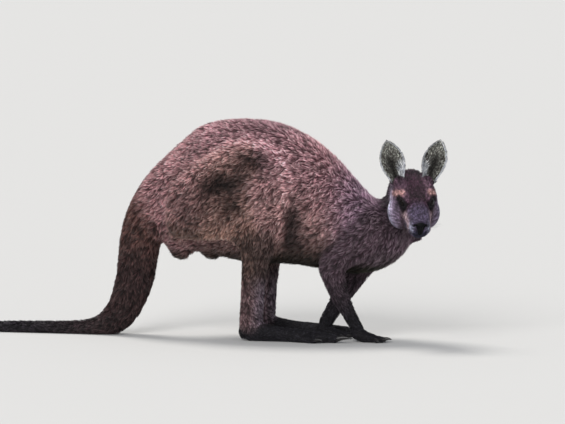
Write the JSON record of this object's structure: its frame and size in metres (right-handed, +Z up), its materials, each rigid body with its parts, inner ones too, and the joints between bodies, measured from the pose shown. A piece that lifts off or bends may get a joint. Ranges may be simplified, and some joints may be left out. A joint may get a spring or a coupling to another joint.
{
  "type": "kangaroo model",
  "caption": "Life-size still western grey kangaroo on all fours with its heavy tail bent to the floor, head turned to look sideways, in close brown fur.",
  "frame": {"origin": "centre of the bottom of the whole animal's box, on the floor", "axes": "+X the way the animal walks, from tail to chest; +Y its left; +Z up"},
  "size_m": [1.2553, 0.3462, 0.5289],
  "materials": {
    "fur_body": "short dense grizzled fur, dark roots and paler tips",
    "fur_head": "very short close fur with a buff brow patch and a pale cheek",
    "fur_limb": "short close fur, greyer towards the foot",
    "fur_paw": "very short blackish fur",
    "fur_tail": "short thick fur, darker to the tip",
    "fur_ear": "thin short fur, pale fringe on the rim, dark back",
    "nose_skin": "bare and finely haired black skin, slightly moist",
    "eye": "wet dark eye",
    "claw": "dark horn, worn satin"
  },
  "bodies": {
    "root": {"trunk": "fur_body", "neck": "fur_body", "head": "fur_head", "nose": "nose_skin", "tail_base": "fur_tail", "tail_mid": "fur_tail", "tail_end": "fur_tail", "thigh_R": "fur_body", "shank_R": "fur_limb", "foot_R": "fur_paw", "upper_arm_R": "fur_limb", "forearm_R": "fur_limb", "hand_R": "fur_paw", "ear_R": "fur_ear", "eye_R": "eye", "foot_R_claw_2": "claw", "foot_R_claw_3": "claw", "foot_R_claw_4": "claw", "foot_R_claw_5": "claw", "hand_R_claw_1": "claw", "hand_R_claw_2": "claw", "hand_R_claw_3": "claw", "hand_R_claw_4": "claw", "hand_R_claw_5": "claw", "thigh_L": "fur_body", "shank_L": "fur_limb", "foot_L": "fur_paw", "upper_arm_L": "fur_limb", "forearm_L": "fur_limb", "hand_L": "fur_paw", "ear_L": "fur_ear", "eye_L": "eye", "foot_L_claw_2": "claw", "foot_L_claw_3": "claw", "foot_L_claw_4": "claw", "foot_L_claw_5": "claw", "hand_L_claw_1": "claw", "hand_L_claw_2": "claw", "hand_L_claw_3": "claw", "hand_L_claw_4": "claw", "hand_L_claw_5": "claw"}
  },
  "joints": []
}
